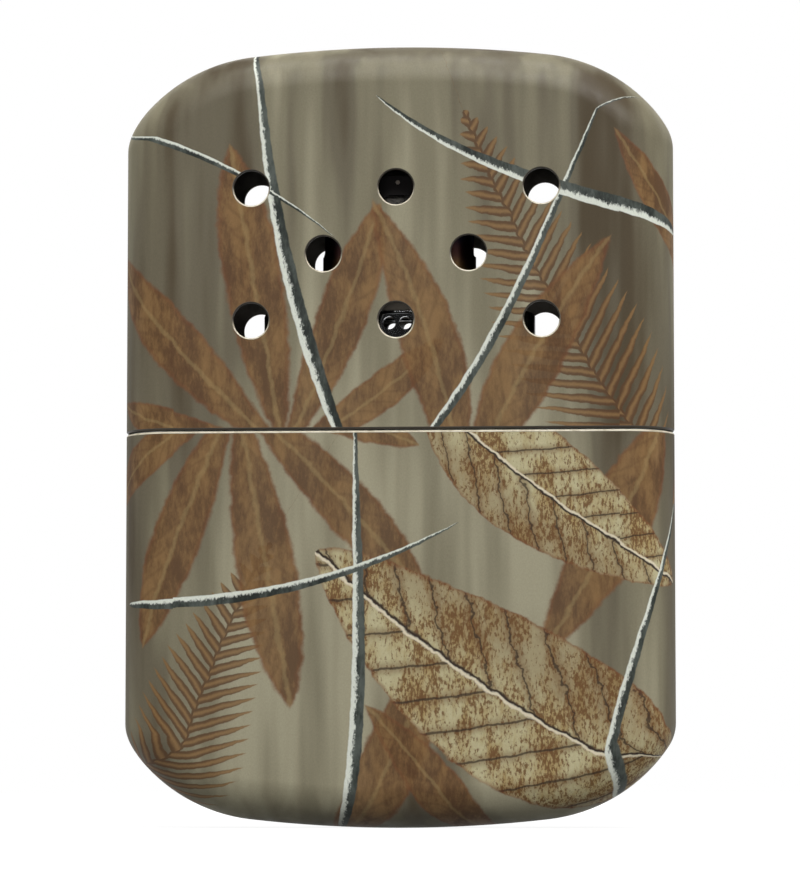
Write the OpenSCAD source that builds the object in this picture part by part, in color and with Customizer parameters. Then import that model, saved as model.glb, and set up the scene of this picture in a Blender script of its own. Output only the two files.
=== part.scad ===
// Catalytic hand warmer: a flat pocket case in two drawn shells. The base is the fuel
// tank, and the cap slides down over the tank's collar and covers a pull-off burner.
// The case stands upright, with its front towards -Y and its lowest point at z = 0.

/* [Case] */
// Width of the case across its round sides
case_w = 69.2; // [66:0.2:73]
// Height of the closed case, base and cap together
case_h = 98.4; // [96:0.2:104]
// Thickness of the case from front to back
case_t = 13.5; // [13.2:0.1:15]
// Height of the base shell, up to the seam with the cap
base_h = 49.4; // [47:0.2:51]
// Radius of the edge that runs round the top and the bottom
edge_r = 5.2; // [4.5:0.1:5.8]
// Radius of the shallow crown along the top and the bottom
crown_r = 165; // [140:5:220]
// Radius of the four corners, seen from the front
corner_r = 21; // [19.5:0.5:23]
// Distance of each corner's centre in from the side of the case
corner_inset = 18.3; // [17.5:0.1:19]

/* [Sheet metal] */
// Thickness of the base shell
base_wall = 0.5; // [0.4:0.05:0.6]
// Thickness of the cap
cap_wall = 0.5; // [0.4:0.05:0.6]
// Chamfer on the outer edge of both shells at the seam
seam_chamfer = 0.2; // [0.1:0.05:0.3]

/* [Cap vents] */
// Diameter of each vent hole in the cap
vent_d = 4.4; // [3.6:0.1:5]
// Distance between neighbouring vents in one row
vent_pitch = 18.2; // [16:0.2:20]
// Distance from one row of vents to the next
vent_row_pitch = 8.35; // [7.5:0.05:9.5]
// Height of the middle row of vents above the seam
vent_up = 22.2; // [20:0.2:24]
// Chamfer on the outer edge of each vent
vent_chamfer = 0.2; // [0.1:0.05:0.3]

/* [Tank top] */
// Thickness of the tank top's sheet
top_wall = 0.5; // [0.4:0.05:0.6]
// Height of the collar above the seam
collar_h = 7.9; // [6.5:0.1:8.5]
// Radius of the shoulder where the collar turns into the deck
shoulder_r = 1.4; // [1:0.1:1.6]
// Depth to which the tank top is pressed into the base shell
insert_depth = 6; // [4:0.5:8]
// Running clearance between the collar and the inside of the cap
cap_gap = 0.15; // [0.12:0.01:0.25]
// Clearance between the collar's grip dimples and the inside of the cap
dimple_gap = 0.04; // [0.03:0.01:0.06]
// Distance of each grip dimple from the middle of the collar
dimple_x = 19; // [14:0.5:24]

/* [Filler neck] */
// Height of the neck above the deck
neck_h = 4.3; // [4:0.1:4.6]
// Length of the neck below the deck
neck_below = 2.4; // [1.5:0.1:3]
// Thickness of the neck's sheet
neck_wall = 0.4; // [0.3:0.05:0.5]
// Width of the flange that seats the neck on the deck
neck_flange = 0.8; // [0.6:0.05:0.9]
// Depth of the free mouth of the neck above the wick
mouth_depth = 4.5; // [4.2:0.1:4.8]

/* [Burner skirt] */
// Width of the burner's skirt
skirt_w = 34.3; // [31:0.1:36]
// Thickness of the skirt from front to back
skirt_t = 8.6; // [8.4:0.1:9]
// Height of the skirt
skirt_h = 7.1; // [6.8:0.1:7.6]
// Radius of the skirt's upper edge
skirt_edge_r = 0.6; // [0.5:0.05:0.65]
// Thickness of the burner's sheet
burner_wall = 0.4; // [0.3:0.05:0.45]
// Clearance between the skirt and the neck that it slips over
slip_gap = 0.2; // [0.15:0.01:0.25]
// Diameter of each air hole in the skirt
air_d = 1.6; // [1.2:0.1:1.7]
// Distance between neighbouring air holes
air_pitch = 2; // [1.9:0.1:2.4]
// Depth of the air holes' centres below the skirt's top
air_drop = 1.7; // [1.6:0.05:1.8]
// Clearance between the skirt's grip dimples and the neck
grip_gap = 0.04; // [0.03:0.01:0.06]
// Distance of each of the skirt's grip dimples from its middle
grip_x = 9; // [6:0.5:11]
// Height of the skirt's grip dimples above its lower edge
grip_up = 2; // [1.8:0.1:2.2]

/* [Catalyst housing] */
// Width of the catalyst housing
housing_w = 19.4; // [18.6:0.1:21]
// Thickness of the housing from front to back
housing_t = 6.6; // [6.4:0.05:6.7]
// Height of the housing above the skirt
housing_h = 17; // [16:0.1:18]
// Width of the foot that seats the housing on the skirt
foot_w = 0.3; // [0.2:0.05:0.35]
// Width of each window in the housing's front and back
window_w = 3.3; // [2.8:0.1:3.4]
// Width of the bars between the windows
window_bar = 1.1; // [0.9:0.1:1.2]
// Width of the window in each end of the housing
end_window_w = 3; // [2.4:0.1:3.4]
// Height of every window
window_h = 7.6; // [6.5:0.1:8]
// Height of the windows' sills above the skirt
sill_h = 7; // [6.6:0.1:7.4]
// Corner radius of the windows
window_r = 0.8; // [0.5:0.1:1.2]
// Height by which the windows' sills stand above the mat tray
tray_drop = 1.6; // [1:0.1:2.2]
// Diameter of the holes in the mat tray
tray_hole_d = 1; // [0.8:0.1:1.2]
// Distance between neighbouring holes in the mat tray
tray_pitch = 1.7; // [1.6:0.1:2]
// Diameter of the wires that hold the mat down
wire_d = 0.5; // [0.4:0.05:0.6]
// Depth of the wires' centres below the housing's top
wire_drop = 0.8; // [0.7:0.05:1]

/* [Soft fillings] */
// Gap between the catalyst mat and the metal round it
mat_gap = 0.1; // [0.08:0.01:0.15]
// Radius of the mat's soft upper edge
mat_edge_r = 1; // [0.6:0.1:1.4]
// Gap between the cotton wadding and the metal round it
wadding_gap = 0.25; // [0.15:0.05:0.35]
// Gap between the felt wick pad and the neck round it
wick_gap = 0.12; // [0.08:0.01:0.2]
// Thickness of the felt wick pad
wick_h = 3.1; // [2.8:0.1:3.4]

/* [Hidden] */
$fn = 96;

// Clearance round a pressed-in seat
press_gap = 0.03;
// Gap between two soft fillings that lie on each other
soft_gap = 0.1;
// Radius of the sphere that shapes a grip dimple of the collar, and of the skirt
dimple_r = 3;
grip_r = 1.8;
// How far a cutter reaches past the face that it cuts
cut = 1;

cap_h = case_h - base_h;

// Seen from above, the case has straight runs of this half length between round ends
run = (case_w - case_t) / 2;
// A ball of radius edge_r rolls along the case's edge. This is the radius of the path
// of its centre round each end.
ball_path_r = case_t / 2 - edge_r;
// Seen from the front, each corner arc meets the crown smoothly. Angles are measured
// from upright, and depths from the top of the crown.
corner_x = case_w / 2 - corner_inset;
crown_angle = asin(corner_x / (crown_r - corner_r));
corner_drop = crown_r - sqrt((crown_r - corner_r) ^ 2 - corner_x ^ 2);
run_angle = asin((run - corner_x) / (corner_r - edge_r));

deck_z = base_h + collar_h;
collar_inset = cap_wall + cap_gap;
insert_inset = base_wall + press_gap;

neck_w = skirt_w - 2 * (burner_wall + slip_gap);
neck_t = skirt_t - 2 * (burner_wall + slip_gap);
neck_top = deck_z + neck_h;
neck_bottom = deck_z - neck_below;

skirt_z = deck_z + neck_wall;
skirt_top = skirt_z + skirt_h;
// The air holes stand in pairs to the left and right of the middle
air_pairs = floor((skirt_w - skirt_t) / 2 / air_pitch + 0.5);
// Depth to which a grip dimple is pressed into the skirt
grip_depth = slip_gap - grip_gap;

housing_top = skirt_top + housing_h;
sill_z = skirt_top + sill_h;
window_step = window_w + window_bar;
tray_z = sill_z - tray_drop - burner_wall;
mat_z = sill_z - tray_drop;
mat_top = housing_top - wire_drop - wire_d / 2 - mat_gap;
tray_reach = floor((housing_w - housing_t) / 2 / tray_pitch);

wick_z = neck_top - mouth_depth - wick_h;

// ---- Shapes that the pieces share ----

// A slot with full round ends, centred
module slot(w, t) {
    square([w - t, t], center = true);
    for (x = [-1, 1]) translate([x * (w - t) / 2, 0]) circle(t / 2);
}

// A rectangle with round corners, centred
module round_rect(w, h, r) {
    square([w - 2 * r, h], center = true);
    square([w, h - 2 * r], center = true);
    for (x = [-1, 1], y = [-1, 1]) translate([x * (w / 2 - r), y * (h / 2 - r)]) circle(r);
}

// A block with round ends, like a slot pulled upwards
module slot_block(w, t, low, high) {
    translate([0, 0, low]) linear_extrude(high - low) slot(w, t);
}

// The same block with its upper edge rounded
module soft_block(w, t, low, high, r) {
    half = (w - t) / 2;
    for (side = [0, 1]) mirror([side, 0, 0])
        translate([half, 0, 0]) rotate([0, 0, -90]) rotate_extrude(angle = 180)
            edge_section(t / 2, low, high, r);
    translate([-half, 0, 0]) rotate([90, 0, 90]) linear_extrude(2 * half)
        for (side = [0, 1]) mirror([side, 0]) edge_section(t / 2, low, high, r);
}

// Half of the section through such a block, from its middle plane outwards
module edge_section(reach, low, high, r) {
    translate([0, low]) square([reach, high - low - r]);
    translate([0, low]) square([reach - r, high - low]);
    translate([reach - r, high - r]) circle(r);
}

// Whether a ball centre at this x rolls along the crown, and not along a corner
function on_crown(x) = abs(x) <= (crown_r - edge_r) * sin(crown_angle);

// How far the case's top edge leans from level at this x of the ball's centre
function lean(x) = on_crown(x)
    ? asin(x / (crown_r - edge_r))
    : sign(x) * asin((abs(x) - corner_x) / (corner_r - edge_r));

// Height of the ball's centre at this x
function ball_z(x) = on_crown(x)
    ? (crown_r - edge_r) * cos(lean(x)) - crown_r
    : (corner_r - edge_r) * cos(lean(x)) - corner_drop;

// Stations of the rolling ball round the case: its centre's x and y, and the direction
// in which the wall faces there. They run anticlockwise from the left of the front.
function stations() = let (
    crown_steps = $fn / 16,
    corner_steps = $fn / 12,
    end_steps = $fn / 4,
    leans = [
        for (i = [-corner_steps : -1]) crown_angle + (run_angle - crown_angle) * -i / corner_steps,
        for (i = [0 : crown_steps]) crown_angle * (1 - 2 * i / crown_steps)
    ],
    front = [for (a = leans) a > crown_angle
        ? -corner_x - (corner_r - edge_r) * sin(a)
        : -(crown_r - edge_r) * sin(a)],
    last = len(front) - 1,
    xs = [
        for (x = front) x,
        for (i = [corner_steps - 1 : -1 : 0]) -front[i]
    ]
) [
    for (x = xs) [x, -ball_path_r, -90],
    for (i = [1 : end_steps - 1]) let (a = -90 + 180 * i / end_steps)
        [run + ball_path_r * cos(a), ball_path_r * sin(a), a],
    for (x = xs) [-x, ball_path_r, 90],
    for (i = [1 : end_steps - 1]) let (a = 90 + 180 * i / end_steps)
        [-run + ball_path_r * cos(a), ball_path_r * sin(a), a]
];

// The point on the case's edge at a station, from the wall at turn 0 to the top at turn 1
function edge_point(s, turn, r) = let (
    out = [cos(s[2]), sin(s[2]), 0],
    up = [sin(lean(s[0])), 0, cos(lean(s[0]))],
    swing = acos(out * up),
    facing = (sin((1 - turn) * swing) * out + sin(turn * swing) * up) / sin(swing)
) [s[0], s[1], ball_z(s[0])] + r * facing;

// Rings of points over half of the case, whose crown lies at z = 0 and faces up: from
// its open end at the given depth, which may have a chamfer of size lip, to its top
function half_rings(depth, inset, lip = 0) = let (
    r = edge_r - inset,
    around = stations(),
    turns = $fn / 12
) [
    for (h = lip > 0 ? [0, lip] : [0]) [for (s = around)
        let (reach = r - lip + h) [s[0] + reach * cos(s[2]), s[1] + reach * sin(s[2]), h - depth]
    ],
    for (i = [0 : turns]) [for (s = around) edge_point(s, i / turns, r)]
];

// Triangles that close a ring across the case. Each station is joined to the one that
// faces it, and the first and last pairs meet at the ends of the case.
function ring_lid(first, count) = let (
    ends = $fn / 4 - 1,
    front = count / 2 - ends,
    left = -(ends + 1) / 2,
    right = front + (ends - 1) / 2
) [
    for (i = [left : right - 1]) let (
        a = first + (i + count) % count,
        b = first + (i + 1 + count) % count,
        c = first + (count - ends - 1 - i) % count,
        d = first + (count - ends - 2 - i) % count
    ) each concat(i == left ? [] : [[a, c, b]], i == right - 1 ? [] : [[b, c, d]])
];

// A solid skinned over rings of points, one after another, and closed at both ends
module skin(rings) {
    count = len(rings[0]);
    last = len(rings) - 1;
    polyhedron(
        points = [for (ring = rings) each ring],
        faces = [
            for (j = [0 : last - 1], i = [0 : count - 1]) let (
                a = j * count + i,
                b = j * count + (i + 1) % count
            ) each [[a, a + count, b], [b, a + count, b + count]],
            for (f = ring_lid(0, count)) [f[0], f[2], f[1]],
            for (f = ring_lid(last * count, count)) f
        ],
        convexity = 4
    );
}

// A drawn shell over half of the case, open at the given depth
module half_shell(depth, wall) {
    inner = half_rings(depth, wall);
    skin(concat(
        [for (i = [len(inner) - 1 : -1 : 0]) inner[i]],
        half_rings(depth, 0, seam_chamfer)
    ));
}

// Centres of the cap's vents: three, two and three, seen from the front
function vent_places() = [
    for (row = [-1, 0, 1])
        for (col = row == 0 ? [-0.5, 0.5] : [-1, 0, 1])
            [col * vent_pitch, base_h + vent_up + row * vent_row_pitch]
];

// ---- Case ----

module cap_shell() {
    color([0.45, 0.43, 0.36])
        difference() {
            translate([0, 0, case_h]) half_shell(cap_h, cap_wall);
            for (p = vent_places()) translate([p[0], 0, p[1]]) rotate([90, 0, 0]) {
                cylinder(d = vent_d, h = case_t + 2 * cut, center = true);
                for (side = [0, 1]) mirror([0, 0, side])
                    translate([0, 0, case_t / 2 - vent_chamfer])
                        cylinder(d1 = vent_d, d2 = vent_d + 4 * vent_chamfer, h = 2 * vent_chamfer);
            }
        }
}

module tank_shell() {
    color([0.45, 0.43, 0.36])
        mirror([0, 0, 1]) half_shell(base_h, base_wall);
}

// ---- Tank ----

// A grip dimple on the front of the collar, which bulges towards the cap
module grip_dimple() {
    face_y = case_t / 2 - collar_inset;
    crest_y = face_y + cap_gap - dimple_gap;
    translate([dimple_x, 0, base_h + collar_h / 2])
        intersection() {
            translate([0, dimple_r - crest_y, 0]) sphere(dimple_r);
            translate([-dimple_r, -crest_y - cut, -dimple_r])
                cube([2 * dimple_r, crest_y + cut - face_y + top_wall / 2, 2 * dimple_r]);
        }
}

module tank_top() {
    inset = collar_inset + top_wall;
    color([0.78, 0.79, 0.8])
        difference() {
            union() {
                slot_block(case_w - 2 * insert_inset, case_t - 2 * insert_inset,
                    base_h - insert_depth, base_h);
                soft_block(case_w - 2 * collar_inset, case_t - 2 * collar_inset,
                    base_h - insert_depth, deck_z, shoulder_r);
                for (x = [0, 1], y = [0, 1]) mirror([x, 0, 0]) mirror([0, y, 0]) grip_dimple();
            }
            soft_block(case_w - 2 * inset, case_t - 2 * inset,
                base_h - insert_depth - cut, deck_z - top_wall, shoulder_r - top_wall);
            slot_block(neck_w + 2 * press_gap, neck_t + 2 * press_gap,
                deck_z - top_wall - cut, deck_z + cut);
        }
}

module filler_neck() {
    color([0.78, 0.79, 0.8])
        difference() {
            union() {
                slot_block(neck_w, neck_t, neck_bottom, neck_top);
                slot_block(neck_w + 2 * neck_flange, neck_t + 2 * neck_flange, deck_z, skirt_z);
            }
            slot_block(neck_w - 2 * neck_wall, neck_t - 2 * neck_wall,
                neck_bottom - cut, neck_top + cut);
        }
}

module wick_pad() {
    margin = neck_wall + wick_gap;
    color([0.9, 0.89, 0.85])
        slot_block(neck_w - 2 * margin, neck_t - 2 * margin, wick_z, wick_z + wick_h);
}

module cotton_wadding() {
    lower = base_wall + wadding_gap;
    upper = collar_inset + top_wall + wadding_gap;
    waist = base_h - insert_depth - wadding_gap;
    color([0.94, 0.93, 0.9]) {
        mirror([0, 0, 1]) let ($fn = 48) skin(half_rings(waist, lower));
        slot_block(case_w - 2 * upper, case_t - 2 * upper, waist - cut, wick_z - soft_gap);
    }
}

// ---- Burner ----

// Places one of these at each of the skirt's four grip dimples, where z = 0 is the centre
// of the sphere that presses it in from outside
module at_skirt_grips() {
    for (x = [0, 1], y = [0, 1]) mirror([x, 0, 0]) mirror([0, y, 0])
        translate([grip_x, -skirt_t / 2 - grip_r + grip_depth, skirt_z + grip_up]) children();
}

module burner_skirt() {
    color([0.8, 0.81, 0.82])
        difference() {
            union() {
                difference() {
                    soft_block(skirt_w, skirt_t, skirt_z, skirt_top, skirt_edge_r);
                    soft_block(skirt_w - 2 * burner_wall, skirt_t - 2 * burner_wall,
                        skirt_z - cut, skirt_top - burner_wall, skirt_edge_r - burner_wall);
                    slot_block(housing_w + 2 * press_gap, housing_t + 2 * press_gap,
                        skirt_top - cut, skirt_top + cut);
                    for (side = [0, 1], i = [1 : air_pairs]) mirror([side, 0, 0])
                        translate([(i - 0.5) * air_pitch, 0, skirt_top - air_drop])
                            rotate([90, 0, 0])
                                cylinder(d = air_d, h = skirt_t + cut, center = true);
                }
                at_skirt_grips() intersection() {
                    sphere(grip_r + burner_wall);
                    translate([-grip_r, grip_r - grip_depth + burner_wall / 2, -grip_r])
                        cube(2 * grip_r);
                }
            }
            at_skirt_grips() sphere(grip_r);
        }
}

module catalyst_housing() {
    inner_w = housing_w - 2 * burner_wall;
    inner_t = housing_t - 2 * burner_wall;
    color([0.5, 0.46, 0.42])
        difference() {
            union() {
                slot_block(housing_w, housing_t, skirt_top - burner_wall, housing_top);
                slot_block(housing_w + 2 * foot_w, housing_t + 2 * foot_w,
                    skirt_top, skirt_top + burner_wall);
            }
            slot_block(inner_w, inner_t, skirt_top - burner_wall - cut, housing_top + cut);
            for (i = [-1, 0, 1]) translate([i * window_step, 0, 0]) {
                translate([0, 0, sill_z + window_h / 2]) rotate([90, 0, 0])
                    linear_extrude(housing_t + cut, center = true)
                        round_rect(window_w, window_h, window_r);
                translate([0, 0, housing_top - wire_drop]) rotate([90, 0, 0])
                    cylinder(d = wire_d + 2 * press_gap, h = housing_t + cut, center = true);
            }
            translate([0, 0, sill_z + window_h / 2]) rotate([90, 0, 90])
                linear_extrude(housing_w + cut, center = true)
                    round_rect(end_window_w, window_h, window_r);
        }
}

module mat_tray() {
    margin = burner_wall + press_gap;
    color([0.7, 0.7, 0.7])
        difference() {
            slot_block(housing_w - 2 * margin, housing_t - 2 * margin, tray_z, mat_z);
            for (i = [-tray_reach : tray_reach], j = [-1, 0, 1])
                translate([i * tray_pitch, j * tray_pitch, tray_z - cut])
                    cylinder(d = tray_hole_d, h = burner_wall + 2 * cut);
        }
}

module catalyst_mat() {
    margin = burner_wall + mat_gap;
    color([0.3, 0.29, 0.28])
        soft_block(housing_w - 2 * margin, housing_t - 2 * margin, mat_z, mat_top, mat_edge_r);
}

module mat_wires() {
    color([0.75, 0.75, 0.76])
        for (i = [-1, 0, 1])
            translate([i * window_step, 0, housing_top - wire_drop]) rotate([90, 0, 0])
                cylinder(d = wire_d, h = housing_t, center = true);
}

cap_shell();
tank_shell();
tank_top();
filler_neck();
wick_pad();
cotton_wadding();
burner_skirt();
catalyst_housing();
mat_tray();
catalyst_mat();
mat_wires();
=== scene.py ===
"""The looks of a catalytic hand warmer: two case shells with a printed woodland pattern, a plated
tank top and neck, and a burner with a heat-tinted housing round its catalyst. Lengths are in
metres, except for places on the print, which are in millimetres."""

import math

import bpy
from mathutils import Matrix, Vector, noise
from mathutils.geometry import delaunay_2d_cdt


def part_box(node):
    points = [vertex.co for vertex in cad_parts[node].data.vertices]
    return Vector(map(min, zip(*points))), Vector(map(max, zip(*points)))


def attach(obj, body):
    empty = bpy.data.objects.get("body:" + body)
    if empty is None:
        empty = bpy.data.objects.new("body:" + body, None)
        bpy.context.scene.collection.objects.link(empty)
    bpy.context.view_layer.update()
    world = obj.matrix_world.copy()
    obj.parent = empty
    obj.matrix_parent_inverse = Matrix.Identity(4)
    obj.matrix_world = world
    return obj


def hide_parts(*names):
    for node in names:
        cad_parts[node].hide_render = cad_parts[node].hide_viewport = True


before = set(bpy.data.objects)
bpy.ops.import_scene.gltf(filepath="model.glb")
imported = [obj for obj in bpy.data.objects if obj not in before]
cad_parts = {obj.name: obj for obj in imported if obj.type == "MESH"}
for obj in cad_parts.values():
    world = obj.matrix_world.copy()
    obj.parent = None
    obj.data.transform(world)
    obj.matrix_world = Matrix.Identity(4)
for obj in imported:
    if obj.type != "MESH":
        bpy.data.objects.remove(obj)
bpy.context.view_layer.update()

# ---- Sizes ----

MM = 0.001
CAP_BOX, TANK_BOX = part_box("cap_shell"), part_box("tank_shell")
CASE_W = CAP_BOX[1].x - CAP_BOX[0].x
CASE_T = CAP_BOX[1].y - CAP_BOX[0].y
CASE_H = CAP_BOX[1].z
SEAM_Z = TANK_BOX[1].z

# The case's edge is rolled by a ball of this radius, along a crown and two corners
EDGE_R = 5.2 * MM
CROWN_R = 165 * MM
CORNER_R = 21 * MM
CORNER_INSET = 18.3 * MM
WALL = 0.5 * MM
LIP_R = 0.3 * MM
LIP_INNER_R = 0.1 * MM
# The cap's lip is drawn this far above the base's, which leaves the seam's dark line
SEAM_GAP = 0.12 * MM

VENT_R = 2.2 * MM
VENT_PITCH = 18.2 * MM
VENT_ROW_PITCH = 8.35 * MM
VENT_UP = 22.2 * MM
RIM_R = 0.2 * MM
RIM_INNER_R = 0.08 * MM

# ---- Camera ----

CAMERA_AT = Vector((0.038, -0.537, 0.005))
CAMERA_AIM = Vector((0.00005, 0, 0.0487))
CAMERA_LENS, CAMERA_SENSOR = 175.2, 36


def make_camera():
    camera = bpy.data.cameras.new("camera")
    camera.lens = CAMERA_LENS
    camera.sensor_width = CAMERA_SENSOR
    camera.clip_start, camera.clip_end = 0.01, 20
    holder = bpy.data.objects.new("camera", camera)
    bpy.context.scene.collection.objects.link(holder)
    holder.location = CAMERA_AT
    holder.rotation_euler = (CAMERA_AIM - CAMERA_AT).to_track_quat("-Z", "Y").to_euler()
    bpy.context.scene.camera = holder


# ---- The rolled shell ----

RUN = (CASE_W - CASE_T) / 2
END_R = CASE_T / 2
PATH_R = END_R - EDGE_R
HALF_GIRTH = 2 * RUN + math.pi * END_R
CORNER_X = CASE_W / 2 - CORNER_INSET
CROWN_ANGLE = math.asin(CORNER_X / (CROWN_R - CORNER_R))
CORNER_DROP = CROWN_R - math.sqrt((CROWN_R - CORNER_R) ** 2 - CORNER_X**2)
RUN_ANGLE = math.asin((RUN - CORNER_X) / (CORNER_R - EDGE_R))

CROWN_STEPS, CORNER_STEPS, END_STEPS = 8, 14, 32
TURN_STEPS, LIP_STEPS, RIM_STEPS, VENT_STEPS = 14, 4, 5, 48
UP = Vector((0, 0, 1))
PRINT_MAP = "print_at"
OUTSIDE, INSIDE, RIM = 0, 1, 2
# Share by which a place may miss an edge and still count as on it
SLACK = 0.0001
# Distance in mm at which points of a flat face are taken as one
MERGED = 1e-6


def lean(x):
    """How far the top edge leans from level where the ball's centre is at x."""
    if abs(x) <= (CROWN_R - EDGE_R) * math.sin(CROWN_ANGLE):
        return math.asin(x / (CROWN_R - EDGE_R))
    return math.copysign(math.asin((abs(x) - CORNER_X) / (CORNER_R - EDGE_R)), x)


def ball_z(x):
    """Height of the ball's centre at x, below the top of the crown."""
    if abs(x) <= (CROWN_R - EDGE_R) * math.sin(CROWN_ANGLE):
        return (CROWN_R - EDGE_R) * math.cos(lean(x)) - CROWN_R
    return (CORNER_R - EDGE_R) * math.cos(lean(x)) - CORNER_DROP


class Station:
    """A place of the rolling ball: its centre, the way the wall faces there, and how far
    round the case it is from the middle of the front."""

    def __init__(self, x, y, facing, along):
        self.centre = Vector((x, y, ball_z(x)))
        self.out = Vector((math.cos(facing), math.sin(facing), 0))
        self.up = Vector((math.sin(lean(x)), 0, math.cos(lean(x))))
        self.swing = self.out.angle(self.up)
        self.along = along
        self.flat = abs(y) > PATH_R * (1 - SLACK) and abs(x) <= RUN * (1 + SLACK)

    def turned(self, share):
        """The outward normal between the wall, at share 0, and the top, at share 1."""
        low, high = math.sin((1 - share) * self.swing), math.sin(share * self.swing)
        return (self.out * low + self.up * high) / math.sin(self.swing)


def crown_and_corner():
    """The ball centre's x from the middle of a face to the end of its straight run."""
    crown = [CROWN_ANGLE * i / CROWN_STEPS for i in range(CROWN_STEPS + 1)]
    corner = [
        CROWN_ANGLE + (RUN_ANGLE - CROWN_ANGLE) * i / CORNER_STEPS
        for i in range(1, CORNER_STEPS + 1)
    ]
    return [(CROWN_R - EDGE_R) * math.sin(a) for a in crown] + [
        CORNER_X + (CORNER_R - EDGE_R) * math.sin(a) for a in corner
    ]


def stations():
    """All stations, anticlockwise from the middle of the back."""
    half = crown_and_corner()
    turns = [math.pi * i / END_STEPS for i in range(1, END_STEPS)]
    front, back = -math.pi / 2, math.pi / 2
    made = [Station(-x, PATH_R, back, x - HALF_GIRTH) for x in half]
    for a in turns:
        x, y = -RUN - PATH_R * math.sin(a), PATH_R * math.cos(a)
        made.append(Station(x, y, back + a, -RUN - END_R * (math.pi - a)))
    made += [Station(x, -PATH_R, front, x) for x in [-x for x in half[::-1]] + half[1:]]
    for a in turns:
        x, y = RUN + PATH_R * math.sin(a), -PATH_R * math.cos(a)
        made.append(Station(x, y, front + a, RUN + END_R * a))
    return made + [Station(x, PATH_R, back, HALF_GIRTH - x) for x in half[:0:-1]]


class Skin:
    """Points with their normals, and faces with their place on the print and their finish."""

    def __init__(self):
        self.points, self.normals, self.faces, self.places, self.finishes = [], [], [], [], []

    def ring(self, pairs):
        """Adds points with their normals, and gives their numbers."""
        start = len(self.points)
        self.points += [p for p, _ in pairs]
        self.normals += [n for _, n in pairs]
        return list(range(start, len(self.points)))

    def face(self, corners, places, finish):
        """Adds a face, turned so that it faces as its points' normals do."""
        kept = [i for i in range(len(corners)) if corners[i] != corners[i - 1]]
        corners, places = [corners[i] for i in kept], [places[i] for i in kept]
        p = [self.points[c] for c in corners]
        facing = (p[1] - p[0]).cross(p[-1] - p[0])
        if facing.dot(sum((self.normals[c] for c in corners), Vector())) < 0:
            corners, places = corners[::-1], places[::-1]
        self.faces.append(corners)
        self.places.append(places)
        self.finishes.append(finish)

    def strip(self, a, b, at_a, at_b, finish, only=None):
        """Closes the band between two rings, or only its given parts. Each ring's list of
        places on the print has one more than its points, for where the ring closes."""
        count = len(a)
        for i in only or range(count):
            k = (i + 1) % count
            places = [at_a[i], at_b[i], at_b[i + 1], at_a[i + 1]]
            self.face([a[i], b[i], b[k], a[k]], places, finish)

    def raised(self, rise):
        self.points = [p + UP * rise for p in self.points]

    def turned_over(self):
        """Mirrors everything top to bottom."""
        self.points = [Vector((p.x, p.y, -p.z)) for p in self.points]
        self.normals = [Vector((n.x, n.y, -n.z)) for n in self.normals]
        self.faces = [f[::-1] for f in self.faces]
        self.places = [[(u, -v) for u, v in place[::-1]] for place in self.places]

    def build(self, name, materials):
        mesh = bpy.data.meshes.new(name)
        mesh.from_pydata([tuple(p) for p in self.points], [], self.faces)
        places = mesh.uv_layers.new(name=PRINT_MAP)
        flat = [value / MM for face in self.places for place in face for value in place]
        places.uv.foreach_set("vector", flat)
        mesh.polygons.foreach_set("use_smooth", [True] * len(self.faces))
        for material in materials:
            mesh.materials.append(material)
        mesh.polygons.foreach_set("material_index", self.finishes)
        mesh.normals_split_custom_set_from_vertices([tuple(n) for n in self.normals])
        made = bpy.data.objects.new(name, mesh)
        bpy.context.scene.collection.objects.link(made)
        return made


def ring_places(around, heights):
    """Where a ring's points are on the print, with the first point again at the end."""
    at = [(s.along, height) for s, height in zip(around, heights)]
    return at + [(HALF_GIRTH, heights[0])]


def rolled_rings(skin, around, radius, side):
    """Rings from the wall to the top of the rolled edge, and each point's climb along it."""
    rings, climbs = [], []
    for k in range(TURN_STEPS + 1):
        share = k / TURN_STEPS
        pairs = [(s.centre + s.turned(share) * radius, s.turned(share) * side) for s in around]
        rings.append(skin.ring(pairs))
        climbs.append([s.centre.z + radius * share * s.swing for s in around])
    return rings, climbs


def lip_ring(skin, around, reach, rise, outward, upward):
    pairs = []
    for s in around:
        foot = Vector((s.centre.x, s.centre.y, 0)) + s.out * reach
        pairs.append((foot + UP * rise, s.out * outward + UP * upward))
    return skin.ring(pairs)


def lip_rings(skin, around, depth):
    """Rings round the open edge, from the outer wall to the inner one."""
    rings = []
    for k in range(LIP_STEPS + 1):
        a = math.pi / 2 * k / LIP_STEPS
        reach, rise = EDGE_R - LIP_R * (1 - math.cos(a)), LIP_R * (1 - math.sin(a))
        rings.append(lip_ring(skin, around, reach, rise - depth, math.cos(a), -math.sin(a)))
    for k in range(LIP_STEPS, -1, -1):
        a = math.pi / 2 * k / LIP_STEPS
        reach = EDGE_R - WALL + LIP_INNER_R * (1 - math.cos(a))
        rise = LIP_INNER_R * (1 - math.sin(a))
        rings.append(lip_ring(skin, around, reach, rise - depth, -math.cos(a), -math.sin(a)))
    return rings


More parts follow.
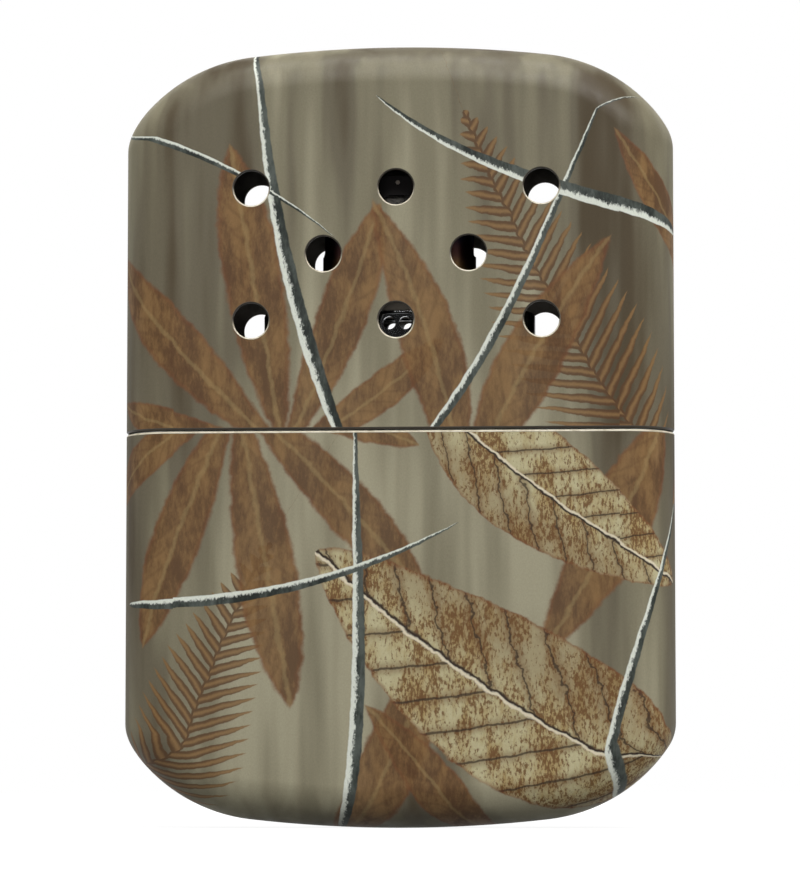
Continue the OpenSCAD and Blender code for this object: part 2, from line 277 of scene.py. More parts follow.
def close_top(skin, around, ring, climb, radius, side, finish):
    """Closes the crown between the front and the back, with points down its middle."""
    count = len(around)
    half, quarter = count // 2, count // 4
    for first in (0, half):
        near = [first + i for i in range(quarter + 1)]
        far = [(first + half - i) % count for i in range(quarter + 1)]
        pairs = []
        for s in (around[i] for i in near[:-1]):
            pairs.append((Vector((s.centre.x, 0, s.centre.z)) + s.up * radius, s.up * side))
        middle = skin.ring(pairs) + [ring[near[-1]]]
        for line in (near, far):
            for i in range(quarter):
                ends = (line[i], line[i + 1])
                along = [HALF_GIRTH if first and j == 0 else around[j].along for j in ends]
                high = [climb[j] + abs(around[j].centre.y) for j in ends]
                low = [climb[j] for j in ends]
                places = list(zip((*along, *along[::-1]), (*low, *high[::-1])))
                corners = [ring[ends[0]], ring[ends[1]], middle[i + 1], middle[i]]
                skin.face(corners, places, finish)


def vent_places():
    """Centres of the cap's vents in x and in z below the crown: three, two and three."""
    middle = SEAM_Z + VENT_UP - CASE_H
    rows = {-1: (-1, 0, 1), 0: (-0.5, 0.5), 1: (-1, 0, 1)}
    return [(c * VENT_PITCH, middle + r * VENT_ROW_PITCH) for r in rows for c in rows[r]]


def vent_profile():
    """The section through a vent's edge from outside to inside: each point's radius and
    depth, and its normal towards the vent's middle and out of the face."""
    profile = []
    for k in range(RIM_STEPS + 1):
        a = math.pi / 2 * k / RIM_STEPS
        inward, outward = math.sin(a), math.cos(a)
        profile.append((VENT_R + RIM_R * (1 - inward), RIM_R * (1 - outward), inward, outward))
    for k in range(RIM_STEPS + 1):
        a = math.pi / 2 * k / RIM_STEPS
        inward, outward = math.cos(a), -math.sin(a)
        depth = WALL - RIM_INNER_R * (1 + outward)
        profile.append((VENT_R + RIM_INNER_R * (1 - inward), depth, inward, outward))
    return profile


def make_vent(skin, x, z, face_y):
    """One vent's edge. Gives the rings where it meets the outer and the inner face."""
    out = math.copysign(1, face_y)
    rings = []
    for radius, depth, inward, outward in vent_profile():
        pairs = []
        for i in range(VENT_STEPS):
            a = 2 * math.pi * i / VENT_STEPS
            ray = Vector((math.cos(a), 0, math.sin(a)))
            point = Vector((x, face_y - out * depth, z)) + ray * radius
            pairs.append((point, ray * -inward + Vector((0, out * outward, 0))))
        rings.append(skin.ring(pairs))
    nowhere = [(0, 0)] * (VENT_STEPS + 1)
    for k in range(len(rings) - 1):
        finish = RIM if k <= RIM_STEPS else INSIDE
        skin.strip(rings[k], rings[k + 1], nowhere, nowhere, finish)
    return rings[0], rings[-1]


def flat_place(p, centre_x):
    """Where a point of the flat front or back is on the print."""
    if p.y < 0:
        return (p.x, p.z)
    return (math.copysign(HALF_GIRTH, centre_x) - p.x, p.z)


def fill_flat(skin, edge, holes, finish):
    """Fills a flat face between its edge and the rings of its holes."""
    corners, lines = [], []
    for loop in [edge] + holes:
        start, count = len(corners), len(loop)
        lines += [(start + i, start + (i + 1) % count) for i in range(count)]
        corners += loop
    hole_of = {c: k for k, hole in enumerate(holes) for c in hole}
    at = [Vector((skin.points[c].x / MM, skin.points[c].z / MM)) for c in corners]
    # An output type of 1 keeps only the triangles inside the edge
    _, _, triangles, sources = delaunay_2d_cdt(at, lines, [], 1, MERGED)[:4]
    for triangle in triangles:
        three = [corners[sources[i][0]] for i in triangle]
        in_hole = {hole_of.get(c) for c in three}
        if len(in_hole) == 1 and None not in in_hole:
            continue
        points = [skin.points[c] for c in three]
        centre_x = sum(p.x for p in points)
        skin.face(three, [flat_place(p, centre_x) for p in points], finish)


def rolled_shell(depth, vents):
    """A drawn shell whose crown lies at z = 0 and faces up, open at the given depth."""
    skin, around = Skin(), stations()
    count = len(around)
    lip = lip_rings(skin, around, depth)
    at_lip = ring_places(around, [-depth] * count)
    for k in range(len(lip) - 1):
        skin.strip(lip[k], lip[k + 1], at_lip, at_lip, RIM if k <= LIP_STEPS else INSIDE)
    ends = [i for i in range(count) if not (around[i].flat and around[(i + 1) % count].flat)]
    layers = ((EDGE_R, 1, lip[0], OUTSIDE), (EDGE_R - WALL, -1, lip[-1], INSIDE))
    feet = {}
    for radius, side, edge, finish in layers:
        rings, climbs = rolled_rings(skin, around, radius, side)
        at = [ring_places(around, climb) for climb in climbs]
        for k in range(TURN_STEPS):
            skin.strip(rings[k], rings[k + 1], at[k], at[k + 1], finish)
        close_top(skin, around, rings[-1], climbs[-1], radius, side, finish)
        skin.strip(rings[0], edge, at[0], at_lip, finish, ends)
        feet[finish] = rings[0]
    for face_y in (-END_R, END_R):
        flat = [i for i in range(count) if around[i].flat and around[i].centre.y * face_y > 0]
        flat.sort(key=lambda i: around[i].centre.x)
        rims = [make_vent(skin, x, z, face_y) for x, z in vents]
        for _, _, edge, finish in layers:
            loop = [edge[i] for i in flat] + [feet[finish][i] for i in flat[::-1]]
            fill_flat(skin, loop, [rim[finish] for rim in rims], finish)
    return skin


def make_cap(materials):
    skin = rolled_shell(CASE_H - SEAM_Z - SEAM_GAP, vent_places())
    skin.raised(CASE_H)
    cap = skin.build("cap_shell_printed", materials)
    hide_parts("cap_shell")
    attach(cap, "cap")


def make_tank(materials):
    skin = rolled_shell(SEAM_Z, [])
    skin.turned_over()
    tank = skin.build("tank_shell_printed", materials)
    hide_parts("tank_shell")
    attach(tank, "tank")


# ---- Shader nodes ----


def colour(red, green, blue):
    """A colour from its 0 to 255 screen values."""
    return tuple(((c / 255 + 0.055) / 1.055) ** 2.4 for c in (red, green, blue)) + (1,)


class Graph:
    """Short calls that add nodes to a tree and join them."""

    def __init__(self, tree):
        self.tree = tree

    def feed(self, socket, value):
        if isinstance(value, bpy.types.NodeSocket):
            self.tree.links.new(value, socket)
        else:
            socket.default_value = value

    def node(self, kind, values=None, **settings):
        made = self.tree.nodes.new("ShaderNode" + kind)
        for name, value in settings.items():
            setattr(made, name, value)
        for key, value in (values or {}).items():
            self.feed(made.inputs[key], value)
        return made

    def math(self, operation, *values):
        return self.node("Math", dict(enumerate(values)), operation=operation).outputs[0]

    def smooth(self, value, low, high, to_low=0.0, to_high=1.0):
        """Steps softly from to_low to to_high as the value goes from low to high."""
        values = {"Value": value, "From Min": low, "From Max": high}
        values |= {"To Min": to_low, "To Max": to_high}
        return self.node("MapRange", values, interpolation_type="SMOOTHSTEP").outputs[0]

    def mix(self, share, a, b, blend_type="MIX"):
        values = {0: share, 6: a, 7: b}
        return self.node("Mix", values, data_type="RGBA", blend_type=blend_type).outputs[2]

    def split(self, vector):
        return self.node("SeparateXYZ", {0: vector}).outputs

    def object_at(self):
        return self.node("TexCoord").outputs["Object"]

    def scaled(self, vector, x, y, z=1.0):
        return self.node("Mapping", {"Vector": vector, "Scale": (x, y, z)}).outputs[0]

    def noise(self, vector, scale=1.0, detail=2.0, roughness=0.5):
        values = {"Vector": vector, "Scale": scale, "Detail": detail, "Roughness": roughness}
        return self.node("TexNoise", values).outputs[0]

    def ramp(self, value, stops):
        """Blends through colours at the given places from 0 to 1."""
        made = self.node("ValToRGB", {0: value})
        made.color_ramp.interpolation = "EASE"
        elements = made.color_ramp.elements
        while len(elements) < len(stops):
            elements.new(0.5)
        for element, (at, tone) in zip(elements, stops):
            element.position = at
            element.color = tone
        return made.outputs[0]

    def bump(self, height, strength, distance):
        values = {"Height": height, "Strength": strength, "Distance": distance}
        return self.node("Bump", values).outputs[0]


class Finish(Graph):
    """A material whose one surface shader takes its values from nodes or plain numbers."""

    def __init__(self, name):
        self.material = bpy.data.materials.new(name)
        self.material.use_nodes = True
        super().__init__(self.material.node_tree)
        self.shader = self.tree.nodes["Principled BSDF"]

    def set(self, **values):
        for name, value in values.items():
            self.feed(self.shader.inputs[name.replace("_", " ")], value)
        return self.material


# ---- The printed pattern ----

BARK = (colour(74, 63, 44), colour(104, 97, 79), colour(127, 121, 99), colour(163, 157, 132))
RUST, RUST_DEEP, RUST_RIM = colour(134, 102, 63), colour(86, 57, 30), colour(116, 66, 38)
TAN, TAN_PALE, TAN_SPOT = colour(168, 146, 98), colour(192, 184, 146), colour(102, 66, 32)
VEIN_DARK, VEIN_LIT = colour(46, 34, 25), colour(222, 212, 186)
BLADE_DARK, BLADE_MID, BLADE_LIT = colour(30, 36, 32), colour(84, 90, 84), colour(222, 226, 214)
PRINT_SMOOTH, PRINT_ROUGH, PRINT_GLOSS = 0.44, 0.54, 0.3
# The ground's bands: how far they are moved sideways, their size, and where each tone lies
BAND_SHIFT, BAND_SCALE = (1.7, 0, 0), (80, 80, 11)
BAND_STOPS = (0.36, 0.445, 0.515, 0.63)
# Each leaflet of a fan: its turn in degrees from the middle one, and its share of the length
FAN_LEAFLETS = ((-64, 0.62), (64, 0.6), (-31, 0.85), (33, 0.88), (0, 1))


class Print(Finish):
    """A woodland print, painted motif by motif over a blurred ground. A motif's place is
    where its stem starts on the print, in mm, then its angle in degrees and length in mm."""

    def __init__(self, name):
        super().__init__(name)
        places = self.node("UVMap", uv_map=PRINT_MAP).outputs[0]
        u, v = self.split(places)[:2]
        girth = 2 * HALF_GIRTH / MM
        behind = self.math("SUBTRACT", self.math("WRAP", u, girth, 0.0), girth / 2)
        self.back = self.node("CombineXYZ", {0: behind, 1: v}).outputs[0]
        self.face = places
        object_at = self.object_at()
        self.wobble = self.math("SUBTRACT", self.noise(object_at, 450, 3, 0.6), 0.5)
        streaked = self.scaled(object_at, 330, 330, 120)
        self.mottle = self.smooth(self.noise(streaked, 1, 5, 0.72), 0.36, 0.64)
        self.speckle = self.noise(self.scaled(object_at, 3300, 3300, 1500), 1, 3, 0.75)
        self.grain = self.noise(self.scaled(object_at, 5200, 5200, 3600), 1, 2, 0.8)
        self.ground(object_at)

    def ground(self, object_at):
        """Tall soft bands, like tree trunks out of focus."""
        values = {"Vector": object_at, "Location": BAND_SHIFT, "Scale": BAND_SCALE}
        wide = self.noise(self.node("Mapping", values).outputs[0], 1, 2, 0.5)
        narrow = self.noise(self.scaled(object_at, 290, 290, 26), 1, 2, 0.5)
        bands = self.math("MULTIPLY_ADD", narrow, 0.24, self.math("MULTIPLY", wide, 0.76))
        self.tone = self.ramp(bands, list(zip(BAND_STOPS, BARK)))

    def paint(self, share, tone):
        self.tone = self.mix(share, self.tone, tone)

    def spine(self, place, bend, ragged):
        """A point's place along a motif, from -1 at its stem to 1 at its tip, its height over
        the bent and ragged spine, and how far it is from the ends: 1 in the middle, then 0."""
        u, v, angle, length = place
        turn, half = math.radians(angle), length / 2
        middle = (u + half * math.cos(turn), v + half * math.sin(turn), 0)
        values = {"Vector": self.face, "Location": middle, "Rotation": (0, 0, turn)}
        values |= {"Scale": (half, half, 1)}
        x, y = self.split(self.node("Mapping", values, vector_type="TEXTURE").outputs[0])[:2]
        inner = self.math("SUBTRACT", 1.0, self.math("MULTIPLY", x, x))
        bent = self.math("MULTIPLY_ADD", inner, -bend, y)
        return x, self.math("MULTIPLY_ADD", self.wobble, ragged, bent), inner

    def outline(self, x, inner, width, power, taper):
        """Half of a motif's width at x."""
        full = self.math("POWER", self.math("MAXIMUM", inner, 0.0), power)
        return self.math("MULTIPLY", full, self.math("MULTIPLY_ADD", x, -taper * width, width))

    def leaf(self, place, width, bend, taper=0.25):
        """A rust-brown leaf with faint side veins, redder at its rim, a little out of focus."""
        x, across, inner = self.spine(place, bend, 0.07)
        off = self.math("ABSOLUTE", across)
        inside = self.math("SUBTRACT", self.outline(x, inner, width, 0.75, taper), off)
        along = self.math("MULTIPLY", x, 6.0)
        row = self.math("PINGPONG", self.math("MULTIPLY_ADD", off, -8.0, along), 0.5)
        body = self.mix(self.mottle, RUST, RUST_DEEP)
        body = self.mix(self.smooth(row, 0.2, 0.0, 0.0, 0.3), body, RUST_DEEP)
        body = self.mix(self.smooth(inside, 0.0, 0.06, 0.3, 1.0), RUST_RIM, body)
        body = self.mix(self.smooth(off, 0.024, 0.004, 0.0, 0.3), body, TAN)
        self.paint(self.smooth(inside, 0.0, 0.035, 0.0, 0.92), body)

    def fan(self, u, v, angle, length, width):
        """Five leaflets from one point, the middle one the longest."""
        for turn, share in FAN_LEAFLETS:
            self.leaf((u, v, angle + turn, length * share), width, turn / 900, -0.25)

    def broad_leaf(self, place, width, bend):
        """A dry tan leaf with side veins, brown specks and one shaded half."""
        x, across, inner = self.spine(place, bend, 0.05)
        off = self.math("ABSOLUTE", across)
        inside = self.math("SUBTRACT", self.outline(x, inner, width, 0.62, 0.3), off)
        slant = self.math("MULTIPLY_ADD", self.wobble, 0.1, x)
        slant = self.math("MULTIPLY_ADD", off, -1.15, slant)
        row = self.math("PINGPONG", self.math("MULTIPLY", slant, 4.4), 0.5)
        specks = self.math("MULTIPLY_ADD", self.mottle, 0.16, self.speckle)
        body = self.mix(self.mottle, TAN_PALE, TAN)
        body = self.mix(self.smooth(row, 0.3, 0.0, 0.0, 0.5), body, TAN_SPOT)
        body = self.mix(self.smooth(specks, 0.56, 0.68, 0.0, 0.85), body, TAN_SPOT)
        body = self.mix(self.smooth(across, 0.0, -0.2, 0.0, 0.4), body, TAN_SPOT)
        body = self.mix(self.smooth(row, 0.05, 0.015, 0.0, 0.8), body, VEIN_DARK)
        body = self.mix(self.smooth(inside, 0.03, 0.0, 0.0, 0.7), body, RUST_RIM)
        rib = self.mix(self.smooth(across, -0.004, 0.004), VEIN_DARK, VEIN_LIT)
        body = self.mix(self.smooth(off, 0.018, 0.008), body, rib)
        self.paint(self.smooth(inside, 0.0, 0.012), body)

    def blade(self, place, width, bend, sway=0.0):
        """A blade of grass in half shade, whose upper edge catches the light."""
        x, across, inner = self.spine(place, bend, 0.016)
        sideways = self.math("MULTIPLY", self.math("MULTIPLY", x, inner), -sway)
        across = self.math("ADD", across, sideways)
        half = self.outline(x, inner, width, 0.35, 0.5)
        inside = self.math("SUBTRACT", half, self.math("ABSOLUTE", across))
        height = self.math("DIVIDE", across, self.math("MAXIMUM", half, 0.001))
        rough = self.math("MULTIPLY_ADD", self.speckle, 1.6, -0.8)
        lit = self.smooth(self.math("ADD", height, rough), 0.0, 0.45)
        body = self.mix(self.mottle, BLADE_DARK, BLADE_MID)
        self.paint(self.smooth(inside, 0.0, 0.006), self.mix(lit, body, BLADE_LIT))

    def frond(self, place, width, leaflets, bend):
        """A fern frond: slanting leaflets on both sides of a rib."""
        x, across, inner = self.spine(place, bend, 0.05)
        off = self.math("ABSOLUTE", across)
        reach = self.outline(x, inner, width, 0.5, 0.55)
        out = self.math("DIVIDE", off, self.math("MAXIMUM", reach, 0.001))
        turns = self.math("MULTIPLY", self.math("MULTIPLY_ADD", off, -0.7, x), leaflets)
        side = self.math("MULTIPLY", self.math("SIGN", across), 0.25)
        row = self.math("PINGPONG", self.math("ADD", turns, side), 0.5)
        edge = self.math("MULTIPLY_ADD", self.math("MULTIPLY", out, out), -0.36, -0.13)
        leaflet = self.smooth(self.math("ADD", row, edge), -0.04, 0.05)
        leaflet = self.math("MULTIPLY", leaflet, self.smooth(out, 1.02, 0.94))
        rib = self.math("MULTIPLY", self.smooth(off, 0.016, 0.008), self.smooth(inner, 0.0, 0.02))
        share = self.math("MULTIPLY", self.math("MAXIMUM", leaflet, rib), 0.88)
        self.paint(share, self.mix(self.smooth(row, 0.25, 0.5), RUST_DEEP, RUST))

    def printed(self):
        """The finished print, with its grain and its satin lacquer."""
        grained = self.math("MULTIPLY_ADD", self.grain, 0.34, 0.83)
        grey = self.node("CombineColor", {0: grained, 1: grained, 2: grained}).outputs[0]
        rough = self.smooth(self.mottle, 0.0, 1.0, PRINT_SMOOTH, PRINT_ROUGH)
        return self.set(
            Base_Color=self.mix(1.0, self.tone, grey, "MULTIPLY"),
            Roughness=rough,
            Specular_IOR_Level=PRINT_GLOSS,
            Normal=self.bump(self.grain, 0.12, 0.05 * MM),
        )


def cap_print():
    """The cap's pattern. Its seam is at v = -49 and its top edge at v = 0."""
    cap = Print("cap_print")
    cap.frond((32, -53, 118, 50), 0.32, 12, 0.06)
    cap.fan(-14, -52, 100, 40, 0.2)
    cap.leaf((10, -54, 60, 34), 0.24, 0.06)
    cap.leaf((8, -54, 108, 36), 0.22, -0.08)
    cap.leaf((42, -30, 128, 24), 0.22, 0.06)
    cap.blade((-6, -52, 101, 60), 0.03, 0.1)
    cap.blade((2, -52, 62, 54), 0.022, -0.07, 0.05)
    cap.blade((38, -24, 157, 44), 0.04, 0.1, 0.06)
    cap.blade((-38, -10, -26, 34), 0.024, 0.12)
    cap.face = cap.back
    cap.frond((29, -52, 113, 47), 0.32, 12, -0.05)
    cap.fan(-15, -56, 98, 42, 0.2)
    cap.leaf((13, -54, 74, 32), 0.23, 0.06)
    cap.leaf((38, -34, 150, 22), 0.22, 0.05)
    cap.blade((2, -52, 82, 56), 0.03, -0.1)
    cap.blade((6, -52, 118, 50), 0.022, 0.08, -0.05)
    cap.blade((-38, -18, 14, 38), 0.036, 0.12)
    return cap.printed()


def base_print():
    """The base's pattern. Its lower edge is at v = 0 and its seam at v = 49."""
    base = Print("base_print")
    base.frond((-30, -4, 70, 42), 0.34, 11, 0.08)
    base.fan(-20, 54, -80, 40, 0.2)
    base.leaf((34, 52, -118, 36), 0.24, 0.06)
    base.leaf((-8, -6, 66, 36), 0.22, -0.05)
    base.leaf((12, -5, 128, 26), 0.24, -0.05)
    base.broad_leaf((37, 4, 147, 56), 0.36, 0.1)
    base.broad_leaf((4, 54, -36, 40), 0.34, -0.08)
    base.blade((-7, -3, 88, 56), 0.03, -0.05, 0.04)
    base.blade((-35, 28, 13, 44), 0.03, -0.14)
    base.blade((24, -3, 72, 52), 0.024, 0.08)
    base.face = base.back
    base.frond((-31, -5, 76, 44), 0.3, 12, -0.08)
    base.fan(-22, 57, -74, 40, 0.2)
    base.leaf((2, -6, 112, 34), 0.22, 0.05)
    base.leaf((30, 53, -96, 34), 0.22, 0.05)
    base.broad_leaf((37, 10, 156, 54), 0.36, -0.1)
    base.blade((9, -3, 93, 56), 0.03, 0.06)
    base.blade((35, 32, 166, 44), 0.03, 0.14)
    return base.printed()


# ---- Metals and fillings ----

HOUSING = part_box("catalyst_housing")
TINTS = (
    (0.0, colour(120, 114, 104)),
    (0.22, colour(112, 88, 56)),
    (0.42, colour(78, 52, 50)),
    (0.6, colour(46, 44, 62)),
    (0.82, colour(38, 36, 36)),
)
WINDOW_W, WINDOW_H, WINDOW_STEP = 3.3 * MM, 7.6 * MM, 4.4 * MM
# Depth of the windows' middles below the housing's top
WINDOW_DROP = 6.2 * MM
MAT_BULGE = 0.35 * MM
# Fibres wave this often to a metre, and as far as this
FIBRE_WAVES, FIBRE_SHIFT = 500.0, 0.0012
FIBRE_ROUGH, FIBRE_SHEEN = 0.95, 0.3
# Width of a soft piece's dents in terms of their depth, and the noise that draws them
DENT_SPREAD = 6
DENT_NOISE = (0.8, 2.0, 3)


def sheet_metal(name, bright, dull, low, high, grain=(260, 260, 260)):
    """Plated or bare sheet, whose tone and gloss vary in soft patches and fine marks."""
    metal = Finish(name)
    at = metal.object_at()
    patches = metal.smooth(metal.noise(metal.scaled(at, *grain), 1, 3, 0.55), 0.35, 0.65)
    marks = metal.noise(at, 4000, 2, 0.6)
    return metal.set(
        Base_Color=metal.mix(patches, bright, dull),
        Roughness=metal.smooth(patches, 0.0, 1.0, low, high),
        Metallic=1.0,
        Normal=metal.bump(marks, 0.06, 0.02 * MM),
    )


def heat_tinted():
    """Steel that the catalyst has blued and browned, darkest at the windows."""
    steel = Finish("heat_tinted_steel")
    low, high = HOUSING
    at = steel.object_at()
    cloud = steel.math("SUBTRACT", steel.noise(at, 220, 4, 0.6), 0.5)
    rise = steel.smooth(steel.split(at)[2], low.z, high.z)
    height = steel.math("MULTIPLY_ADD", cloud, 0.35, rise)
    marks = steel.noise(steel.scaled(at, 900, 900, 3500), 1, 2, 0.6)
    return steel.set(
        Base_Color=steel.ramp(height, TINTS),
        Roughness=steel.smooth(cloud, -0.2, 0.2, 0.3, 0.48),
        Metallic=1.0,
        Normal=steel.bump(marks, 0.1, 0.02 * MM),
    )


def cream_coat_and_painted_shade():
    """The cream lacquer under the print on rims and lips, with painted light and shade: edges
    that turn up, as at the vents' lower rims, are painted as lit cream, and those that turn down
    in a dark painted shade."""
    coat = Finish("cream_coat_and_painted_shade")
    cloud = coat.noise(coat.object_at(), 900, 3, 0.6)
    facing = coat.split(coat.node("TexCoord").outputs["Normal"])
    # Painted light and shade: cream where an edge faces up, the dark tone where it faces down
    painted_lit_share = coat.smooth(facing[2], -0.12, 0.32)
    cream = coat.mix(coat.smooth(cloud, 0.4, 0.7), colour(214, 206, 184), colour(186, 175, 150))
    tone = coat.mix(painted_lit_share, colour(56, 50, 40), cream)
    return coat.set(Base_Color=tone, Roughness=coat.smooth(cloud, 0.3, 0.7, 0.35, 0.5))


def fibre(name, light, dark, size, depth):
    """Matted fibres: fine strands with gaps darkened by painted shade, over soft uneven patches.
    """
    mat = Finish(name)
    at = mat.object_at()
    lumps = mat.noise(at, 300, 3, 0.6)
    waves = mat.node("TexNoise", {"Vector": at, "Scale": FIBRE_WAVES}).outputs[1]
    shift = mat.scaled(waves, FIBRE_SHIFT, FIBRE_SHIFT, FIBRE_SHIFT)
    bent = mat.node("VectorMath", {0: at, 1: shift}).outputs[0]
    strands = mat.noise(mat.scaled(bent, size * 0.25, size, size * 0.5), 1, 3, 0.7)
    crossing = mat.noise(mat.scaled(bent, size, size * 0.3, size * 0.9), 1, 3, 0.7)
    felted = mat.math("MAXIMUM", strands, crossing)
    # Where the strands leave gaps, the dark tone is painted shade
    shade = mat.math("MULTIPLY_ADD", lumps, 0.3, mat.math("MULTIPLY", felted, 0.7))
    return mat.set(
        Base_Color=mat.mix(mat.smooth(shade, 0.36, 0.6), dark, light),
        Roughness=FIBRE_ROUGH,
        Sheen_Weight=FIBRE_SHEEN,
        Normal=mat.bump(felted, 0.7, depth),
    )


def window_bulge(point):
    """How far the mat swells out through the housing's windows at this point."""
    window = min(range(-1, 2), key=lambda i: abs(point.x - i * WINDOW_STEP))
    across = (point.x - window * WINDOW_STEP) / (WINDOW_W / 2)
    up = (point.z - HOUSING[1].z + WINDOW_DROP) / (WINDOW_H / 2)
    if abs(across) >= 1 or abs(up) >= 1:
        return 0
    return MAT_BULGE * (1 - across**2) * (1 - up**2)


def soft_piece(node, body, cell, lump, material, bulge=None):
    """A soft filling in its solid's space: the solid in small cells, smoothed, and drawn in
    by soft dents of up to lump. The bulge pushes it out again where it has room."""
    piece = bpy.data.objects.new(node + "_soft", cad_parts[node].data.copy())
    bpy.context.scene.collection.objects.link(piece)
    remesh = piece.modifiers.new("cells", "REMESH")
    remesh.mode = "VOXEL"
    remesh.voxel_size = cell
    rounding = piece.modifiers.new("rounding", "SMOOTH")
    rounding.factor = 0.5
    rounding.iterations = 4
    shaped = piece.evaluated_get(bpy.context.evaluated_depsgraph_get())
    piece.data = bpy.data.meshes.new_from_object(shaped)
    piece.modifiers.clear()
    normals = [v.normal.copy() for v in piece.data.vertices]
    for vertex, normal in zip(piece.data.vertices, normals):
        wave = noise.fractal(vertex.co / (DENT_SPREAD * lump), *DENT_NOISE)
        dent = lump * (0.5 + 0.5 * wave)
        out = bulge(vertex.co) * abs(normal.y) if bulge else 0
        vertex.co += normal * (out - max(dent, 0))
    piece.data.polygons.foreach_set("use_smooth", [True] * len(piece.data.polygons))
    piece.data.materials.clear()
    piece.data.materials.append(material)
    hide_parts(node)
    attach(piece, body)


def dress(node, material):
    """Gives a CAD piece its finish."""
    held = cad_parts[node]
    held.data.materials.clear()
    held.data.materials.append(material)


# ---- Stage ----

# Strength of the world as light, level with the horizon and overhead
AMBIENT_LOW, AMBIENT_HIGH = 0.09, 0.24
FLOOR_TONE = (0.15, 0.15, 0.15, 1)
# Glow of the floor under the object and far from it, and the radii between which it grows
GLOW_NEAR, GLOW_FAR = 0.86, 1.0
GLOW_FROM, GLOW_TO = 0.06, 0.35
# The same as bare metal mirrors it, near the object, and the radius that it grows to. The dimmer
# glow near the object is a painted shadow of the object on the floor in reflections
MIRROR_NEAR, MIRROR_TO = 0.42, 0.7
FLOOR_REACH = 3
# Dark parts of the studio in reflections: the flag in front, the horizon and the zenith
FLAG, HORIZON, ZENITH = 0.04, 0.14, 0.42
LIGHT_AIM = Vector((0, 0, 0.05))
# Each light's place, width, height and watts, and whether it shows in reflections
LIGHTS = {
    "key": ((0.16, -0.74, 0.72), 0.5, 0.4, 7.6, True),
    "top": ((0.02, -0.14, 0.95), 0.5, 0.2, 3.4, True),
    "left": ((-0.9, -0.12, 0.16), 0.2, 0.5, 2.6, False),
    "right": ((0.9, -0.12, 0.16), 0.2, 0.5, 2.8, False),
    "back": ((-0.2, 0.76, 0.56), 0.5, 0.4, 6.8, False),
}


def make_floor():
    """A pale floor, white in the picture and in reflections, that keeps the shadow. In
    reflections it glows less near the object, a painted shadow.
    """
    mesh = bpy.data.meshes.new("floor")
    turns = ((-1, -1), (1, -1), (1, 1), (-1, 1))
    corners = [(x * FLOOR_REACH, y * FLOOR_REACH, 0) for x, y in turns]
    mesh.from_pydata(corners, [], [(0, 1, 2, 3)])
    floor = bpy.data.objects.new("floor", mesh)
    bpy.context.scene.collection.objects.link(floor)
    material = bpy.data.materials.new("floor")
    material.use_nodes = True
    material.node_tree.nodes.clear()
    graph = Graph(material.node_tree)
    path = graph.node("LightPath").outputs
    away = graph.node("VectorMath", {0: graph.object_at()}, operation="LENGTH").outputs[1]
    seen = graph.smooth(away, GLOW_FROM, GLOW_TO, GLOW_NEAR, GLOW_FAR)
    # In reflections the floor's glow is a painted shadow near the object, fading out by MIRROR_TO
    mirrored = graph.smooth(away, GLOW_FROM, MIRROR_TO, MIRROR_NEAR, GLOW_FAR)
    shiny = graph.math("MAXIMUM", path["Is Glossy Ray"], path["Is Transmission Ray"])
    glowing = graph.math("MULTIPLY", path["Is Camera Ray"], seen)
    glowing = graph.math("ADD", glowing, graph.math("MULTIPLY", shiny, mirrored))
    glow = graph.node("Emission", {"Strength": glowing})
    lit = graph.node("BsdfDiffuse", {"Color": FLOOR_TONE})
    both = graph.node("AddShader", {0: lit.outputs[0], 1: glow.outputs[0]})
    graph.node("OutputMaterial", {"Surface": both.outputs[0]})
    mesh.materials.append(material)


def make_world():
    """White round the object and dimmer as light. Metal also mirrors a dark flag in front, a
    dark band along the horizon and a dimmer zenith, as it does in a studio."""
    world = bpy.data.worlds.new("studio")
    bpy.context.scene.world = world
    world.use_nodes = True
    world.node_tree.nodes.clear()
    graph = Graph(world.node_tree)
    path = graph.node("LightPath").outputs
    towards = graph.split(graph.node("TexCoord").outputs["Generated"])
    flag = graph.smooth(towards[1], -0.97, -0.75, FLAG, 1.0)
    band = graph.smooth(graph.math("ABSOLUTE", towards[2]), 0.04, 0.34, HORIZON, 1.0)
    zenith = graph.smooth(towards[2], 0.34, 0.9, 1.0, ZENITH)
    mirrored = graph.math("MULTIPLY", flag, graph.math("MULTIPLY", band, zenith))
    ambient = graph.smooth(towards[2], 0.0, 0.8, AMBIENT_LOW, AMBIENT_HIGH)
    shiny = graph.math("MAXIMUM", path["Is Glossy Ray"], path["Is Transmission Ray"])
    values = {"Value": shiny, "To Min": ambient, "To Max": mirrored}
    dim = graph.node("MapRange", values).outputs[0]
    values = {"Value": path["Is Camera Ray"], "To Min": dim, "To Max": 1.0}
    strength = graph.node("MapRange", values).outputs[0]
    back = graph.node("Background", {"Color": (1, 1, 1, 1), "Strength": strength})
    graph.node("OutputWorld", {"Surface": back.outputs[0]})


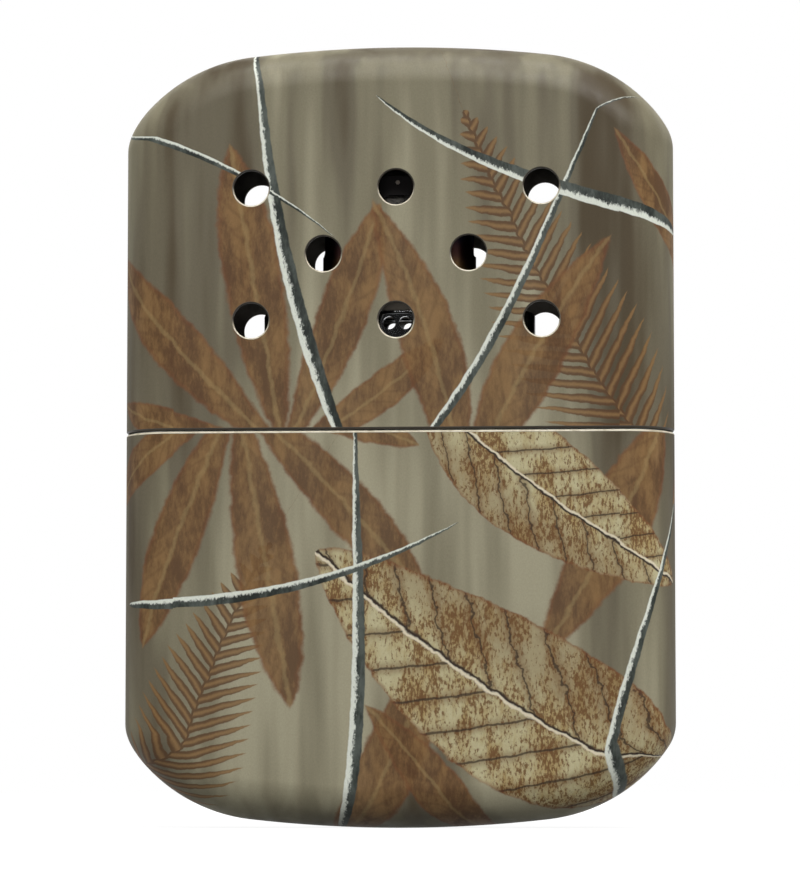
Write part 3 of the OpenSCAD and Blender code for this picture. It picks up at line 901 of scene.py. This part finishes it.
def make_lights():
    for name, (at, width, height, power, mirrored) in LIGHTS.items():
        light = bpy.data.lights.new(name, "AREA")
        light.shape = "RECTANGLE"
        light.size, light.size_y = width, height
        light.energy = power
        holder = bpy.data.objects.new(name, light)
        bpy.context.scene.collection.objects.link(holder)
        holder.location = at
        holder.rotation_euler = (LIGHT_AIM - Vector(at)).to_track_quat("-Z", "Y").to_euler()
        holder.visible_glossy = mirrored


# ---- The whole scene ----


def make_shells():
    # The shells' inner steel is darker than bare steel: a painted shade that keeps the cap's
    # inside dark through the vents
    inside = sheet_metal("steel_painted_dark_inside", colour(96, 92, 86), colour(70, 66, 61), 0.42, 0.52)
    coat = cream_coat_and_painted_shade()
    make_cap([cap_print(), inside, coat])
    make_tank([base_print(), inside, coat])


def dress_metals():
    plated = sheet_metal("bright_plate", colour(222, 224, 226), colour(217, 219, 221), 0.1, 0.12)
    drawn_up, drawn_across = (400, 400, 90), (400, 60, 400)
    neck_tones = colour(216, 217, 218), colour(198, 198, 198)
    tray_tones = colour(150, 140, 130), colour(104, 92, 84)
    wire_tones = colour(176, 170, 160), colour(120, 104, 92)
    for node in ("tank_top", "burner_skirt"):
        dress(node, plated)
    dress("filler_neck", sheet_metal("neck_plate", *neck_tones, 0.14, 0.22, drawn_up))
    dress("catalyst_housing", heat_tinted())
    dress("mat_tray", sheet_metal("tray_steel", *tray_tones, 0.3, 0.45))
    dress("mat_wires", sheet_metal("wire_steel", *wire_tones, 0.25, 0.4, drawn_across))


def make_fillings():
    wool = fibre("glass_fibre", colour(118, 114, 108), colour(52, 50, 48), 5200, 0.08 * MM)
    felt = fibre("felt", colour(236, 232, 220), colour(190, 184, 168), 3800, 0.06 * MM)
    cotton = fibre("cotton", colour(246, 243, 234), colour(214, 208, 196), 1400, 0.2 * MM)
    soft_piece("catalyst_mat", "burner", 0.24 * MM, 0.22 * MM, wool, window_bulge)
    soft_piece("wick_pad", "tank", 0.3 * MM, 0.15 * MM, felt)
    soft_piece("cotton_wadding", "tank", 0.9 * MM, 0.9 * MM, cotton)


def main():
    make_camera()
    make_shells()
    dress_metals()
    make_fillings()
    make_floor()
    make_world()
    make_lights()
    bpy.context.scene.view_settings.view_transform = "Standard"


main()
